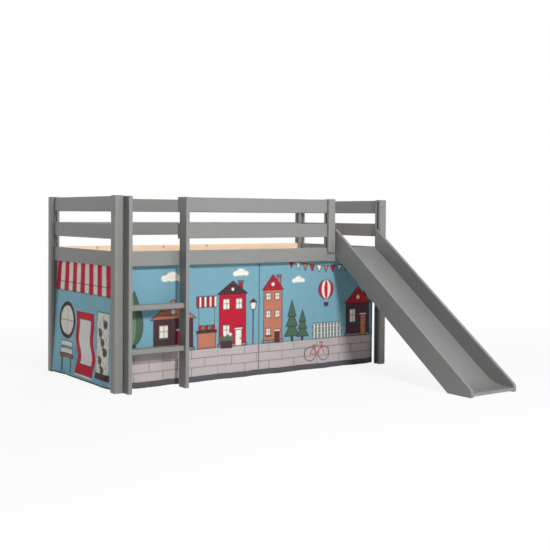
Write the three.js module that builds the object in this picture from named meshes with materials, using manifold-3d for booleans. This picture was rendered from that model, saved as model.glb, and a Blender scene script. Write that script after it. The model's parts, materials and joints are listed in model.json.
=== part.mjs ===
// Loft bed with a slide, a ladder and play curtains.
// Millimetres, +Z up. X runs along the bed, +Y towards the wall, the slide points to -Y.
// Pieces are placed from the floor corner of the front left post, and the group is then
// moved so that the origin is the middle of the floor under the whole object.

import * as THREE from 'three';
import { mergeVertices } from 'three/addons/utils/BufferGeometryUtils.js';
import Module from 'manifold-3d';

const wasm = await Module();
wasm.setup();

// Overall sizes
const bedLength = 2082;
const bedWidth = 1000;
const bedHeight = 1148;
const slideReach = 1228;

// Clearances
const fit = 0.3;
const overrun = 10;
const mergeTolerance = 0.001;

// Posts
const postSize = 58;
const postRound = 8;
const postEdge = 2.5;
const grooveDepth = 12;

// Rails
const railHeight = 90;
const railThick = 20;
const railRecess = 19;
const railRound = 4;
const railPitch = 161;
const railDrop = 4;

// Guard post beside the slide
const guardPostGap = 10;
const guardPostLap = 33;

// Ladder
const uprightThick = 24;
const uprightReach = 64;
const uprightRound = 3;
const ladderInside = 353;
const rungTop = 254;
const rungPitch = 256;
const rungHeight = 32;
const rungSetback = 20;
const rungRound = 5;
const housingDepth = 8;

// Slatted base
const ledgerWidth = 25;
const ledgerHeight = 22;
const ledgerRise = 4;
const ledgerRound = 2;
const slatCount = 12;
const slatWidth = 90;
const slatThick = 16;
const slatRound = 3;
const slatEndSpace = 18;

// Slide
const slideSideGap = 3;
const slideWidth = 384;
const slideHeadDrop = 5.4;
const slideNoseHeight = 42.5;
const slideSideDepth = 145;
const slideSideThick = 22;
const slideTopRound = 26;
const slideFootRound = 8;
const slideSideEdge = 3;
const slideSheetThick = 18;
const slideSheetDepth = 104;
const slideSheetFoot = 27;
const slideBend = 260;
const slideSheetHousing = 7;
const battenThick = 20;
const battenWidth = 45;
const battenRound = 2;
const battenCount = 2;
const cleatThick = 22;
const cleatHeight = 25;

// Bolts with flush caps
const boltDiameter = 8;
const boltCapDiameter = 15;
const boltCapThick = 3;
const boltCapEdge = 1;
const boltFacets = 16;
const boltPlay = 0.6;
const boltBite = 36;
const boltPostRise = 14;
const ladderBoltDrop = 26;
const slideBoltInset = 60;

// Curtains
const clothThick = 2;
const clothFloorGap = 5;
const clothEndGap = 4;
const clothHang = 2;
const tapeThick = 1.5;
const tapeHeight = 18;
const seamOffset = 13;
const foldWidth = 330;
const rippleWidth = 125.4;
const rippleShare = 0.4;
const rippleTurn = 1;
const foldSwing = 9;
const endFoldSwing = 6;
const endClothLap = 38;
const frontColumns = 40;
const frontRows = 6;

// Doorway and its flap, in the curtain of the left end
const doorOffset = -16;
const doorWidth = 270;
const doorTop = 430;
const doorSill = 29;
const flapSideGap = 7;
const flapFootGap = 8;
const flapCurl = 14;
const flapWaveShare = 0.6;
const flapRows = 16;
const followWidth = 70;
const followShare = 0.85;
const doorColumns = { near: 13, door: 9, far: 11 };
const doorRows = { above: 5, door: 12 };

// How far the foot of the end curtain stands out, how much further its far corner does, and the bend
const footLean = 20;
const cornerLean = 13;
const leanBend = 1.3;

// Sizes that follow from these
const railTops = [0, 1, 2].map((step) => bedHeight - railDrop - step * railPitch);
const sideRailFoot = railTops[2] - railHeight;
const railInner = railRecess + railThick;
const railMiddle = railRecess + railThick / 2;
const railEnd = postSize - grooveDepth + fit;
const ladderLeft = postSize + fit;
const ladderRight = ladderLeft + uprightThick + ladderInside;
const uprightBack = railRecess - fit;
const uprightTop = railTops[0];
const ledgerFoot = sideRailFoot + ledgerRise;
const ledgerFront = railInner + fit;
const slatFoot = ledgerFoot + ledgerHeight + fit;
const slideRight = bedLength - postSize - slideSideGap;
const slideLeft = slideRight - slideWidth;
const guardPostX = slideLeft - guardPostGap - postSize;
const seamX = bedLength / 2 + seamOffset;
const doorMiddle = bedWidth / 2 + doorOffset;
const endClothTop = sideRailFoot + endClothLap;

const colours = {
  paint: { color: 0x95948f, roughness: 0.55 },
  pine: { color: 0xf0cda8, roughness: 0.6 },
  slide: { color: 0x8a8a86, roughness: 0.45 },
  cloth: { color: 0x7cacbf, roughness: 0.9 },
  tape: { color: 0x45464b, roughness: 0.95 },
  cap: { color: 0x8b8b88, roughness: 0.4 },
};

// Solids

const solids = new Map();

function closedSolid(geometry) {
  const bare = geometry.index ? geometry.toNonIndexed() : geometry.clone();
  bare.deleteAttribute('normal');
  bare.deleteAttribute('uv');
  const merged = mergeVertices(bare, mergeTolerance);
  const index = Array.from(merged.index.array);
  const places = merged.attributes.position.array;
  const triangles = [];
  for (let i = 0; i < index.length; i += 3) {
    const [a, b, c] = index.slice(i, i + 3);
    if (a !== b && b !== c && c !== a) triangles.push(a, b, c);
  }
  if (signedVolume(places, triangles) < 0) triangles.reverse();
  const mesh = new wasm.Mesh({
    numProp: 3,
    vertProperties: new Float32Array(places),
    triVerts: new Uint32Array(triangles),
  });
  return new wasm.Manifold(mesh);
}

function signedVolume(places, triangles) {
  const [a, b, c] = [new THREE.Vector3(), new THREE.Vector3(), new THREE.Vector3()];
  let sum = 0;
  for (let i = 0; i < triangles.length; i += 3) {
    a.fromArray(places, triangles[i] * 3);
    b.fromArray(places, triangles[i + 1] * 3);
    c.fromArray(places, triangles[i + 2] * 3);
    sum += a.dot(b.cross(c));
  }
  return sum / 6;
}

function addSolid(name, solid, finish) {
  solids.set(name, { solid, finish });
}

function cutFrom(name, tool) {
  const piece = solids.get(name);
  piece.solid = piece.solid.subtract(tool);
}

function roundedRectangle(width, height, radius) {
  const shape = new THREE.Shape();
  const [x, y] = [width / 2 - radius, height / 2 - radius];
  shape.absarc(x, y, radius, 0, Math.PI / 2);
  shape.absarc(-x, y, radius, Math.PI / 2, Math.PI);
  shape.absarc(-x, -y, radius, Math.PI, Math.PI * 1.5);
  shape.absarc(x, -y, radius, Math.PI * 1.5, Math.PI * 2);
  return shape;
}

function prism(shape, length, curveSegments = 3) {
  return new THREE.ExtrudeGeometry(shape, { depth: length, bevelEnabled: false, curveSegments });
}

// A bar with rounded long edges, given by its lowest and highest corner
function bar(low, high, along, radius) {
  const size = high.map((value, axis) => value - low[axis]);
  let geometry;
  if (along === 'x') {
    geometry = prism(roundedRectangle(size[2], size[1], radius), size[0]);
    geometry.rotateY(Math.PI / 2);
    geometry.translate(low[0], low[1] + size[1] / 2, low[2] + size[2] / 2);
  } else if (along === 'y') {
    geometry = prism(roundedRectangle(size[0], size[2], radius), size[1]);
    geometry.rotateX(Math.PI / 2);
    geometry.translate(low[0] + size[0] / 2, high[1], low[2] + size[2] / 2);
  } else {
    geometry = prism(roundedRectangle(size[0], size[1], radius), size[2]);
    geometry.translate(low[0] + size[0] / 2, low[1] + size[1] / 2, low[2]);
  }
  return closedSolid(geometry);
}

function block(low, high) {
  const size = high.map((value, axis) => value - low[axis]);
  const geometry = new THREE.BoxGeometry(...size);
  geometry.translate(...low.map((value, axis) => value + size[axis] / 2));
  return closedSolid(geometry);
}

// Corner posts: rounded square section, with a groove for the rails in each inner face

function postOutline(grooveAcrossX, grooveAcrossY) {
  const grooveNear = railRecess - fit;
  const grooveFar = railInner + fit;
  const floor = postSize - grooveDepth;
  const [low, high] = [postRound, postSize - postRound];
  const shape = new THREE.Shape();
  shape.absarc(low, low, postRound, Math.PI, Math.PI * 1.5);
  shape.absarc(high, low, postRound, Math.PI * 1.5, Math.PI * 2);
  if (grooveAcrossX) {
    shape.lineTo(postSize, grooveNear);
    shape.lineTo(floor, grooveNear);
    shape.lineTo(floor, grooveFar);
    shape.lineTo(postSize, grooveFar);
  }
  shape.absarc(high, high, postRound, 0, Math.PI / 2);
  if (grooveAcrossY) {
    shape.lineTo(grooveFar, postSize);
    shape.lineTo(grooveFar, floor);
    shape.lineTo(grooveNear, floor);
    shape.lineTo(grooveNear, postSize);
  }
  shape.absarc(low, high, postRound, Math.PI / 2, Math.PI);
  return shape;
}

function postSolid(foot, top, grooveAcrossX, grooveAcrossY, turnX, turnY) {
  const geometry = new THREE.ExtrudeGeometry(postOutline(grooveAcrossX, grooveAcrossY), {
    depth: top - foot - 2 * postEdge,
    bevelEnabled: true,
    bevelThickness: postEdge,
    bevelSize: postEdge,
    bevelOffset: -postEdge,
    bevelSegments: 2,
    curveSegments: 4,
  });
  geometry.translate(0, 0, foot + postEdge);
  geometry.scale(turnX ? -1 : 1, turnY ? -1 : 1, 1);
  return geometry;
}

function addPosts() {
  for (const [sideName, atRight] of [['left', false], ['right', true]]) {
    for (const [depthName, atBack] of [['front', false], ['back', true]]) {
      const geometry = postSolid(0, bedHeight, true, true, atRight, atBack);
      geometry.translate(atRight ? bedLength : 0, atBack ? bedWidth : 0, 0);
      addSolid(`post_${depthName}_${sideName}`, closedSolid(geometry), 'paint');
    }
  }
}

// Short guard post: its foot is forked over the front side rail

function addGuardPost() {
  const foot = railTops[2] - guardPostLap;
  const geometry = postSolid(foot, bedHeight, true, false, true, false);
  geometry.translate(guardPostX + postSize, 0, 0);
  addSolid('guard_post', closedSolid(geometry), 'paint');
  const forkLow = [guardPostX - overrun, railRecess - fit, foot - overrun];
  const forkHigh = [guardPostX + postSize + overrun, railInner + fit, railTops[2] + fit];
  cutFrom('guard_post', block(forkLow, forkHigh));
}

// Rails

function addEndRails() {
  const levels = ['top', 'middle', 'lower'];
  for (const [sideName, outerX] of [['left', railRecess], ['right', bedLength - railInner]]) {
    levels.forEach((level, step) => {
      const low = [outerX, railEnd, railTops[step] - railHeight];
      const high = [outerX + railThick, bedWidth - railEnd, railTops[step]];
      addSolid(`end_rail_${sideName}_${level}`, bar(low, high, 'y', railRound), 'paint');
    });
  }
}

function addLongRail(name, startX, endX, nearY, step, finish) {
  const low = [startX, nearY, railTops[step] - railHeight];
  const high = [endX, nearY + railThick, railTops[step]];
  addSolid(name, bar(low, high, 'x', railRound), finish);
}

function addLongRails() {
  const backY = bedWidth - railInner;
  const farEnd = bedLength - railEnd;
  addLongRail('back_rail_top', railEnd, farEnd, backY, 0, 'paint');
  addLongRail('back_rail_middle', railEnd, farEnd, backY, 1, 'paint');
  addLongRail('back_side_rail', railEnd, farEnd, backY, 2, 'pine');
  addLongRail('front_side_rail', railEnd, farEnd, railRecess, 2, 'paint');
  const guardEnd = guardPostX + grooveDepth - fit;
  addLongRail('front_guard_rail_top', ladderRight, guardEnd, railRecess, 0, 'paint');
  addLongRail('front_guard_rail_middle', ladderRight, guardEnd, railRecess, 1, 'paint');
}

// Ladder: two board uprights, and rungs housed in their inner faces

function addLadder() {
  for (const [name, left] of [['left', ladderLeft], ['right', ladderRight]]) {
    const low = [left, -uprightReach, 0];
    const high = [left + uprightThick, uprightBack, uprightTop];
    addSolid(`ladder_upright_${name}`, bar(low, high, 'z', uprightRound), 'paint');
  }
  const housing = housingDepth - fit;
  const insideLeft = ladderLeft + uprightThick;
  ['lower', 'upper'].forEach((level, step) => {
    const top = rungTop + step * rungPitch;
    const front = rungSetback - uprightReach;
    const low = [insideLeft - housing, front, top - rungHeight];
    const high = [ladderRight + housing, uprightBack, top];
    addSolid(`ladder_rung_${level}`, bar(low, high, 'x', rungRound), 'paint');
    const cutLow = [insideLeft - housingDepth, front - fit, top - rungHeight - fit];
    const cutHigh = [ladderRight + housingDepth, uprightBack + overrun, top + fit];
    const cut = block(cutLow, cutHigh);
    cutFrom('ladder_upright_left', cut);
    cutFrom('ladder_upright_right', cut);
  });
}

// Slatted base: a ledger inside each side rail, and loose slats across them

function addSlattedBase() {
  const ledgerStart = postSize + fit;
  const ledgerEnd = bedLength - postSize - fit;
  const ledgerTop = ledgerFoot + ledgerHeight;
  for (const [name, nearY] of [
    ['front', ledgerFront],
    ['back', bedWidth - ledgerFront - ledgerWidth],
  ]) {
    const low = [ledgerStart, nearY, ledgerFoot];
    const high = [ledgerEnd, nearY + ledgerWidth, ledgerTop];
    addSolid(`slat_ledger_${name}`, bar(low, high, 'x', ledgerRound), 'pine');
  }
  const firstX = ledgerStart + slatEndSpace;
  const slatPitch = (ledgerEnd - slatEndSpace - slatWidth - firstX) / (slatCount - 1);
  for (let i = 0; i < slatCount; i += 1) {
    const left = firstX + i * slatPitch;
    const low = [left, ledgerFront, slatFoot];
    const high = [left + slatWidth, bedWidth - ledgerFront, slatFoot + slatThick];
    const name = `slat_${String(i + 1).padStart(2, '0')}`;
    addSolid(name, bar(low, high, 'y', slatRound), 'pine');
  }
}

// Slide: outlines are drawn in the plane of its side, as Y and Z

// The sheet starts just under the side rail's top, and its sides end at the nose on the floor
const slideBackY = railRecess - fit;
const slideRun = slideBackY + slideReach;
const sheetHead = railTops[2] - slideHeadDrop;
const sheetRise = sheetHead - slideNoseHeight;
const sideLead = Math.asin(slideSheetDepth / Math.hypot(slideRun, sheetRise));
const slideSlope = Math.atan2(sheetRise, slideRun) + sideLead;
const slideTan = Math.tan(slideSlope);
const slideCos = Math.cos(slideSlope);
const slideSin = Math.sin(slideSlope);
const slideTopHeight = sheetHead + slideSheetDepth / slideCos;

function slideTopEdge(y) {
  return slideTopHeight + (y - slideBackY) * slideTan;
}

function slideSideOutline() {
  const drop = slideSideDepth / slideCos;
  const footFront = -slideReach;
  const heelY = slideBackY - (slideTopHeight - drop) / slideTan;
  const trim = slideTopRound * Math.tan((Math.PI / 2 - slideSlope) / 2);
  const noseZ = slideTopEdge(footFront);
  const noseMiddleY = footFront + slideTopRound;
  const noseMiddleZ = noseZ - trim;
  const shape = new THREE.Shape();
  shape.moveTo(slideBackY, slideTopHeight - drop);
  shape.lineTo(slideBackY, slideTopHeight);
  shape.absarc(noseMiddleY, noseMiddleZ, slideTopRound, Math.PI / 2 + slideSlope, Math.PI);
  shape.absarc(
    footFront + slideFootRound, slideFootRound, slideFootRound, Math.PI, Math.PI * 1.5);
  shape.lineTo(heelY, 0);
  return shape;
}

// The running surface: a straight slope, a bend, and a level run-out
function slideSheetOutline(grow) {
  const bendFoot = slideBackY - (sheetHead - slideSheetFoot) / slideTan;
  const bendY = bendFoot - slideBend * Math.tan(slideSlope / 2);
  const bendZ = slideSheetFoot + slideBend;
  const inner = slideBend - grow;
  const outer = slideBend + slideSheetThick + grow;
  const endY = fit - slideReach - grow;
  const backY = slideBackY + grow;
  const startAngle = Math.PI * 1.5;
  const endAngle = startAngle + slideSlope;
  const slopeZ = (radius) => bendZ - (radius - (backY - bendY) * slideSin) / slideCos;
  const shape = new THREE.Shape();
  shape.moveTo(endY, bendZ - inner);
  shape.lineTo(endY, bendZ - outer);
  shape.absarc(bendY, bendZ, outer, startAngle, endAngle);
  shape.lineTo(backY, slopeZ(outer));
  shape.lineTo(backY, slopeZ(inner));
  shape.absarc(bendY, bendZ, inner, endAngle, startAngle, true);
  return shape;
}

// Turns a solid drawn in Y and Z so that its thickness runs along X
function acrossX(geometry, startX) {
  const turn = new THREE.Matrix4().set(0, 0, 1, startX, 1, 0, 0, 0, 0, 1, 0, 0, 0, 0, 0, 1);
  return geometry.applyMatrix4(turn);
}

function addSlideSides() {
  for (const [name, startX] of [
    ['left', slideLeft],
    ['right', slideRight - slideSideThick],
  ]) {
    const geometry = new THREE.ExtrudeGeometry(slideSideOutline(), {
      depth: slideSideThick - 2 * slideSideEdge,
      bevelEnabled: true,
      bevelThickness: slideSideEdge,
      bevelSize: slideSideEdge,
      bevelOffset: -slideSideEdge,
      bevelSegments: 2,
      curveSegments: 5,
    });
    const solid = closedSolid(acrossX(geometry, startX + slideSideEdge));
    addSolid(`slide_side_${name}`, solid, 'slide');
  }
}

function addSlideSheet() {
  const sheetLeft = slideLeft + slideSideThick - slideSheetHousing;
  const sheetRight = slideRight - slideSideThick + slideSheetHousing;
  const sheet = acrossX(prism(slideSheetOutline(0), sheetRight - sheetLeft, 8), sheetLeft);
  addSolid('slide_sheet', closedSolid(sheet), 'slide');
  const width = sheetRight - sheetLeft + 2 * fit;
  const groove = acrossX(prism(slideSheetOutline(fit), width, 8), sheetLeft - fit);
  const tool = closedSolid(groove);
  cutFrom('slide_side_left', tool);
  cutFrom('slide_side_right', tool);
}

// Battens under the sheet, square to the slope, and a cleat at its head
function addSlideSupports() {
  const startX = slideLeft + slideSideThick + fit;
  const endX = slideRight - slideSideThick - fit;
  const underside = sheetHead - slideSheetThick / slideCos;
  const slopeLength = slideRun / slideCos;
  for (let i = 1; i <= battenCount; i += 1) {
    const along = (slopeLength * i) / (battenCount + 1);
    const geometry = prism(roundedRectangle(battenWidth, battenThick, battenRound), endX - startX);
    geometry.translate(0, -battenThick / 2 - fit, 0);
    geometry.rotateZ(slideSlope);
    geometry.translate(slideBackY - along * slideCos, underside - along * slideSin, 0);
    addSolid(`slide_batten_${i}`, closedSolid(acrossX(geometry, startX)), 'slide');
  }
  const cleatY = slideBackY - cleatThick;
  const cleatTop = underside - (slideBackY - cleatY) * slideTan - fit;
  const low = [startX, cleatY, cleatTop - cleatHeight];
  const high = [endX, slideBackY, cleatTop];
  addSolid('slide_cleat', bar(low, high, 'x', battenRound), 'slide');
  return { cleatY, boltZ: cleatTop - cleatHeight / 2, startX, endX };
}

// Bolts: a flush cap and a shank, in a counterbored hole

function turned(points) {
  return new THREE.LatheGeometry(points.map(([r, y]) => new THREE.Vector2(r, y)), boltFacets);
}

function addBolt(name, place, inward, reach, pieces) {
  const [shank, cap] = [boltDiameter / 2, boltCapDiameter / 2];
  const bolt = turned([
    [0, fit], [cap - boltCapEdge, fit], [cap, fit + boltCapEdge], [cap, fit + boltCapThick],
    [shank, fit + boltCapThick], [shank, reach], [0, reach],
  ]);
  const [hole, bore] = [shank + boltPlay / 2, cap + boltPlay / 2];
  const tool = turned([
    [0, -overrun], [bore, -overrun], [bore, boltCapThick + 2 * fit],
    [hole, boltCapThick + 2 * fit], [hole, reach + fit], [0, reach + fit],
  ]);
  for (const geometry of [bolt, tool]) {
    if (inward < 0) geometry.rotateX(Math.PI);
    geometry.translate(...place);
  }
  addSolid(name, closedSolid(bolt), 'cap');
  const drill = closedSolid(tool);
  pieces.forEach((piece) => cutFrom(piece, drill));
}

function addPostBolts() {
  const levels = [
    ['top', railTops[0] - railHeight / 2],
    ['lower', sideRailFoot + boltPostRise],
  ];
  const reach = railEnd + boltBite;
  for (const [side, x] of [['left', railMiddle], ['right', bedLength - railMiddle]]) {
    for (const [depth, y, inward] of [['front', 0, 1], ['back', bedWidth, -1]]) {
      for (const [level, z] of levels) {
        const pieces = [`post_${depth}_${side}`, `end_rail_${side}_${level}`];
        addBolt(`bolt_${depth}_${side}_${level}`, [x, y, z], inward, reach, pieces);
      }
    }
  }
}

function addLadderBolts() {
  const z = railTops[2] - ladderBoltDrop;
  const reach = railThick + boltBite;
  for (const [side, left] of [['left', ladderLeft], ['right', ladderRight]]) {
    const pieces = ['front_side_rail', `ladder_upright_${side}`];
    const place = [left + uprightThick / 2, railInner, z];
    addBolt(`ladder_bolt_${side}`, place, -1, reach, pieces);
  }
}

function addSlideBolts(head) {
  const reach = cleatThick + railThick - boltCapThick;
  for (const [side, x] of [
    ['left', head.startX + slideBoltInset],
    ['right', head.endX - slideBoltInset],
  ]) {
    const place = [x, head.cleatY, head.boltZ];
    addBolt(`slide_bolt_${side}`, place, 1, reach, ['slide_cleat', 'front_side_rail']);
  }
}

// Cloth: a grid of cells across and down, thick along one level axis, open where a cell is left out

function clothSolid({ acrossLines, downLines, place, isOpen }) {
  const across = acrossLines.length;
  const faces = [];
  const points = [-1, 1].map((side) => downLines.map((z) => acrossLines.map(
    (along) => place(along, z, (side * clothThick) / 2))));
  const quad = (a, b, c, d) => faces.push(a, b, c, a, c, d);
  const filled = (i, j) => i >= 0 && j >= 0 && i < across - 1 && j < downLines.length - 1
    && !isOpen(acrossLines[i], acrossLines[i + 1], downLines[j], downLines[j + 1]);
  for (let j = 0; j < downLines.length - 1; j += 1) {
    for (let i = 0; i < across - 1; i += 1) {
      if (!filled(i, j)) continue;
      const corner = (side, di, dj) => points[side][j + dj][i + di];
      quad(corner(0, 0, 0), corner(0, 1, 0), corner(0, 1, 1), corner(0, 0, 1));
      quad(corner(1, 0, 1), corner(1, 1, 1), corner(1, 1, 0), corner(1, 0, 0));
      const rim = (di, dj, ei, ej) => quad(
        corner(1, di, dj), corner(1, ei, ej), corner(0, ei, ej), corner(0, di, dj));
      if (!filled(i, j - 1)) rim(0, 0, 1, 0);
      if (!filled(i + 1, j)) rim(1, 0, 1, 1);
      if (!filled(i, j + 1)) rim(1, 1, 0, 1);
      if (!filled(i - 1, j)) rim(0, 1, 0, 0);
    }
  }
  const geometry = new THREE.BufferGeometry();
  geometry.setAttribute('position', new THREE.Float32BufferAttribute(faces.flat(), 3));
  return closedSolid(geometry);
}

function evenLines(from, to, count) {
  return Array.from({ length: count + 1 }, (_, i) => from + ((to - from) * i) / count);
}

// How far the folds stand out, from nothing under the tape to their full swing at the hem
function foldOut(along, z, top, swing) {
  const depth = Math.max(0, (top - tapeHeight - z) / (top - tapeHeight - clothFloorGap));
  const wave = Math.sin((2 * Math.PI * along) / foldWidth);
  const ripple = rippleShare * Math.sin((2 * Math.PI * along) / rippleWidth + rippleTurn);
  return swing * depth * (wave + ripple) / (1 + rippleShare);
}

function addFrontCurtains() {
  const top = ledgerFoot + ledgerHeight - clothHang;
  const tapeY = ledgerFront + ledgerWidth + fit;
  const faceY = tapeY + tapeThick + fit + clothThick / 2;
  const startX = postSize + clothEndGap;
  const endX = bedLength - postSize - clothEndGap;
  const tapeLow = [startX, tapeY, top - tapeHeight];
  addSolid('curtain_tape_front', block(tapeLow, [endX, tapeY + tapeThick, top]), 'tape');
  for (const [name, from, to] of [
    ['left', startX, seamX - clothEndGap / 2],
    ['right', seamX + clothEndGap / 2, endX],
  ]) {
    const solid = clothSolid({
      acrossLines: evenLines(from, to, frontColumns),
      downLines: [top, ...evenLines(top - tapeHeight, clothFloorGap, frontRows)],
      place: (x, z, out) => [x, faceY + out + foldOut(x, z, top, foldSwing), z],
      isOpen: () => false,
    });
    addSolid(`curtain_front_${name}`, solid, 'cloth');
  }
}

function addEndCurtain() {
  const top = endClothTop;
  const tapeX = railInner + fit;
  const faceX = tapeX + tapeThick + fit + clothThick / 2;
  const startY = postSize + clothEndGap;
  const endY = bedWidth - postSize - clothEndGap;
  const tapeLow = [tapeX, startY, top - tapeHeight];
  addSolid('curtain_tape_left', block(tapeLow, [tapeX + tapeThick, endY, top]), 'tape');
  const doorNear = doorMiddle - doorWidth / 2;
  const doorFar = doorMiddle + doorWidth / 2;
  const calm = (y, z) => {
    const beside = Math.min(1, Math.max(doorNear - y, y - doorFar, 0) / (doorWidth / 2));
    const above = Math.min(1, Math.max(z - doorTop, 0) / (doorWidth / 2));
    return Math.min(1, beside + above);
  };
  const lean = (y, z) => {
    const depth = Math.max(0, (top - tapeHeight - z) / (top - tapeHeight - clothFloorGap));
    const far = Math.max(0, (y - doorFar) / (endY - doorFar));
    return (footLean + cornerLean * far ** 2) * depth ** leanBend;
  };
  const seamZ = doorTop - clothThick / 2 - fit;
  const seamX = faceX - lean(doorMiddle, seamZ);
  const pull = (y, z) => {
    const beside = Math.max(doorNear - y, y - doorFar, 0) + Math.max(z - doorTop, 0);
    return followShare * Math.max(0, 1 - beside / followWidth) ** 2;
  };
  const middle = (y, z) => {
    const own = faceX + calm(y, z) * foldOut(y, z, top, endFoldSwing) - lean(y, z);
    return own + pull(y, z) * (seamX + curlOut(z, seamZ) - own);
  };
  const solid = clothSolid({
    acrossLines: [
      ...evenLines(startY, doorNear, doorColumns.near),
      ...evenLines(doorNear, doorFar, doorColumns.door).slice(1),
      ...evenLines(doorFar, endY, doorColumns.far).slice(1),
    ],
    downLines: [
      top, ...evenLines(top - tapeHeight, doorTop, doorRows.above),
      ...evenLines(doorTop, doorSill, doorRows.door).slice(1), clothFloorGap,
    ],
    place: (y, z, out) => [middle(y, z) + out, y, z],
    isOpen: (y0, y1, z0, z1) => y0 >= doorNear && y1 <= doorFar && z0 <= doorTop && z1 >= doorSill,
  });
  addSolid('curtain_left_end', solid, 'cloth');
  return { seamX, seamZ, doorNear, doorFar };
}

// The flap's waves grow towards its foot, which stands out; its weight stays below its seam
function curlOut(z, seamZ) {
  const foot = doorSill + flapFootGap;
  const share = Math.min(1, Math.max(0, (seamZ - z) / (seamZ - foot)));
  return -flapCurl * share * Math.cos(2 * Math.PI * (1 - share) / flapWaveShare);
}

// Door flap: hangs from the top seam, curled down its height, round along the seam
function addDoorFlap({ seamX, seamZ, doorNear, doorFar }) {
  const nose = clothThick / 2;
  const levels = evenLines(seamZ, doorSill + flapFootGap, flapRows);
  const shape = new THREE.Shape();
  shape.absarc(0, seamZ, nose, 0, Math.PI);
  levels.slice(1).forEach((z) => shape.lineTo(curlOut(z, seamZ) - nose, z));
  levels.slice(1).reverse().forEach((z) => shape.lineTo(curlOut(z, seamZ) + nose, z));
  const near = doorNear + flapSideGap;
  const far = doorFar - flapSideGap;
  const geometry = prism(shape, far - near, 6);
  geometry.rotateX(Math.PI / 2);
  geometry.translate(seamX, far, 0);
  addSolid('door_flap', closedSolid(geometry), 'cloth');
}

addPosts();
addGuardPost();
addEndRails();
addLongRails();
addLadder();
addSlattedBase();
addSlideSides();
addSlideSheet();
const slideHead = addSlideSupports();
addPostBolts();
addLadderBolts();
addSlideBolts(slideHead);
addFrontCurtains();
addDoorFlap(addEndCurtain());

// Scene graph

function meshOf(name, { solid, finish }) {
  const { vertProperties, triVerts } = solid.getMesh();
  const geometry = new THREE.BufferGeometry();
  geometry.setAttribute('position', new THREE.BufferAttribute(vertProperties, 3));
  geometry.setIndex(new THREE.BufferAttribute(triVerts, 1));
  geometry.computeVertexNormals();
  const material = new THREE.MeshStandardMaterial({ metalness: 0, ...colours[finish] });
  const mesh = new THREE.Mesh(geometry, material);
  mesh.name = name;
  return mesh;
}

const loftBed = new THREE.Group();
loftBed.position.set(-bedLength / 2, (slideReach - bedWidth) / 2, 0);
for (const [name, piece] of solids) loftBed.add(meshOf(name, piece));

export default loftBed;
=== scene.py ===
# %% [markdown]
# A loft bed is a frame of softwood posts and rails, sprayed with grey lacquer.
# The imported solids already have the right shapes, so they are loaded as the frame and stay.
# This script adds what solids can't show: the grain, the lacquer, and the printed cloth.

# %% Load the frame
import json
import math

import bmesh
import bpy
import numpy as np
from mathutils import Matrix, Vector


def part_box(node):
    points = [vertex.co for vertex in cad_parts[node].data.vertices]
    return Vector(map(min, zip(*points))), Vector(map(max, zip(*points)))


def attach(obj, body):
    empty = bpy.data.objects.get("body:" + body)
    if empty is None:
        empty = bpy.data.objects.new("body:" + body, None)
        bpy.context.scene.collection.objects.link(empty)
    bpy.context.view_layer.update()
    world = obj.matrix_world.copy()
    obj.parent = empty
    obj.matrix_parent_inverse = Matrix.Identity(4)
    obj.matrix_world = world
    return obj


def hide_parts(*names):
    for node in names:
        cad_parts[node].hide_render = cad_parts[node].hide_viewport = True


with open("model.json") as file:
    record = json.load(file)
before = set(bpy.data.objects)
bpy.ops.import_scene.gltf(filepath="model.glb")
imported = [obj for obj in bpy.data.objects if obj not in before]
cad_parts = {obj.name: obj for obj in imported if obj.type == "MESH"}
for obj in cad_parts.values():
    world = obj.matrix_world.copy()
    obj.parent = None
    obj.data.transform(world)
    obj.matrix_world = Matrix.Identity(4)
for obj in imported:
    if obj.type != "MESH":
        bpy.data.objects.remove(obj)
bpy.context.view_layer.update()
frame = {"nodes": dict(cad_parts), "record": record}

nodes = frame["nodes"]
scene = bpy.context.scene

# %% [markdown]
# Colours are picked in a paint program as hex values, which hold light the way a screen shows it.
# Blender mixes light evenly, so one function turns each hex value into linear colour.
# A second function adds a node with its settings and links, and every material is built with it.

# %% Colour and node helpers
MM = 0.001
WHITE = "ffffff"


def srgb(code):
    """A hex colour such as 989896 as linear red, green and blue."""
    parts = [int(code[i:i + 2], 16) / 255 for i in (0, 2, 4)]
    return [c / 12.92 if c <= 0.04045 else ((c + 0.055) / 1.055) ** 2.4 for c in parts]


def rgba(code):
    return (*srgb(code), 1.0)


def add(tree, kind, settings=(), inputs=()):
    """Adds a shader node; an input is a value, or the socket that feeds it."""
    node = tree.nodes.new("ShaderNode" + kind)
    for name, value in dict(settings).items():
        setattr(node, name, value)
    for key, value in dict(inputs).items():
        if isinstance(value, bpy.types.NodeSocket):
            tree.links.new(value, node.inputs[key])
        else:
            node.inputs[key].default_value = value
    return node


def calculate(tree, operation, *values, clamp=False):
    """Adds a maths node and gives its result."""
    settings = {"operation": operation, "use_clamp": clamp}
    return add(tree, "Math", settings, dict(enumerate(values))).outputs[0]


def blend(tree, share, first, second):
    """Adds a mix of two colours and gives its result."""
    return add(tree, "Mix", {"data_type": "RGBA"}, {0: share, 6: first, 7: second}).outputs[2]


def seen_share(tree):
    """One for the camera's rays, also by way of a mirror or glass, and nought for rays of light."""
    ray = add(tree, "LightPath")
    share = calculate(tree, "MAXIMUM", ray.outputs["Is Camera Ray"], ray.outputs["Is Glossy Ray"])
    return calculate(tree, "MAXIMUM", share, ray.outputs["Is Transmission Ray"])


def new_material(name):
    material = bpy.data.materials.new(name)
    material.use_nodes = True
    material.node_tree.nodes.clear()
    return material, material.node_tree


def set_surface(tree, inputs):
    shader = add(tree, "BsdfPrincipled", (), inputs)
    add(tree, "OutputMaterial", (), {"Surface": shader.outputs["BSDF"]})
    return shader


# %% [markdown]
# The stage is a pale floor, as in a catalogue. The camera sees most of it as plain white paper, and
# only a small share of its real shade, so a faint shadow stays under the bed. Further out even that
# share fades away, and the floor has no edge against the background.

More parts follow.
